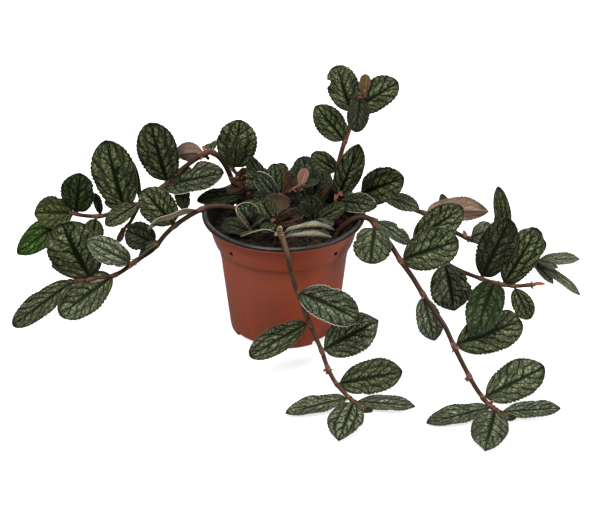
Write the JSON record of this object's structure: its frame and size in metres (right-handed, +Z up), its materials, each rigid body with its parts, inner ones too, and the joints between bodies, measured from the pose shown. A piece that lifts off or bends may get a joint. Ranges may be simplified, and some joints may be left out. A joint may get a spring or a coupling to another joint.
{
  "type": "potted trailing foliage plant",
  "caption": "Trailing watermelon begonia in a plastic nursery pot: oval dark-veined leaves on reddish stems that stand up, arch over the rim and trail to the floor.",
  "frame": {"origin": "centre of the pot's foot, on the surface it stands on", "axes": "+Z up, -Y towards the viewer of the front, +X to the right"},
  "size_m": [0.4211, 0.3403, 0.2058],
  "materials": {
    "pot": "moulded terracotta-coloured plastic outside, black inside and on the rim, soft sheen",
    "soil": "dark loose potting mix, matt",
    "leaf": "satin leaves, sage green between nearly black veins, pinkish brown below"
  },
  "bodies": {
    "root": {"pot": "pot", "soil": "soil", "upright_stem": "leaf", "middle_shoot": "leaf", "middle_left_shoot": "leaf", "front_left_shoot": "leaf", "front_middle_shoot": "leaf", "middle_right_shoot": "leaf", "left_trailing_stem": "leaf", "left_arching_stem": "leaf", "front_trailing_stem": "leaf", "right_front_trailing_stem": "leaf", "right_back_stem": "leaf", "back_right_trailing_stem": "leaf", "back_left_trailing_stem": "leaf"}
  },
  "joints": []
}
